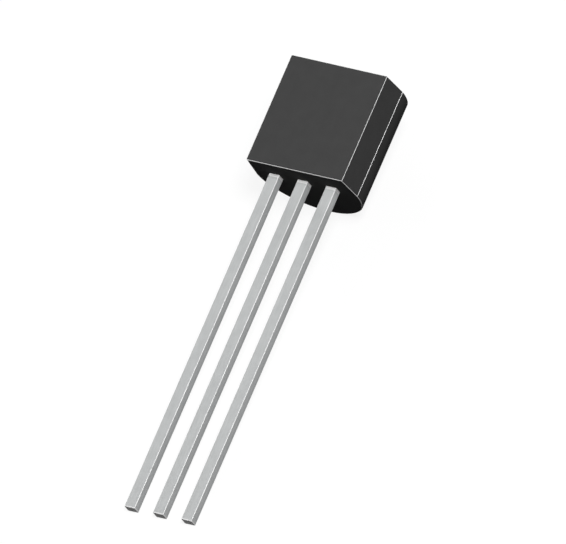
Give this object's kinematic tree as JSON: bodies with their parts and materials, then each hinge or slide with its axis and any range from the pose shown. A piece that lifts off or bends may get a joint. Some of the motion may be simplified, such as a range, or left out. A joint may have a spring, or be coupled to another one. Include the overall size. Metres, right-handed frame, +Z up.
{
  "type": "to-92 transistor",
  "caption": "Small D-shaped moulded transistor case with a flat front, a round back and straight flat leads in a row, lying on its round back.",
  "frame": {"origin": "bottom centre of the bounding box of the part as it lies at rest, on the surface it lies on", "axes": "+X along the row of leads, from the emitter lead to the collector lead; +Y along the part from the lead tips to the top of the case; +Z up. The part lies on its round back with the flat front up, so the flat leans 9 degrees from level, because the lead tips rest on the surface too"},
  "size_m": [0.0046, 0.019, 0.0042],
  "materials": {
    "moulded_epoxy": "satin",
    "tinned_lead": "satin",
    "silicon": "polished",
    "chip_bond": "matte",
    "gold_wire": "polished"
  },
  "bodies": {
    "root": {"case": "moulded_epoxy", "emitter_lead": "tinned_lead", "base_lead": "tinned_lead", "collector_lead": "tinned_lead", "die": "silicon", "die_bond": "chip_bond", "base_wire": "gold_wire", "emitter_wire": "gold_wire"}
  },
  "joints": []
}
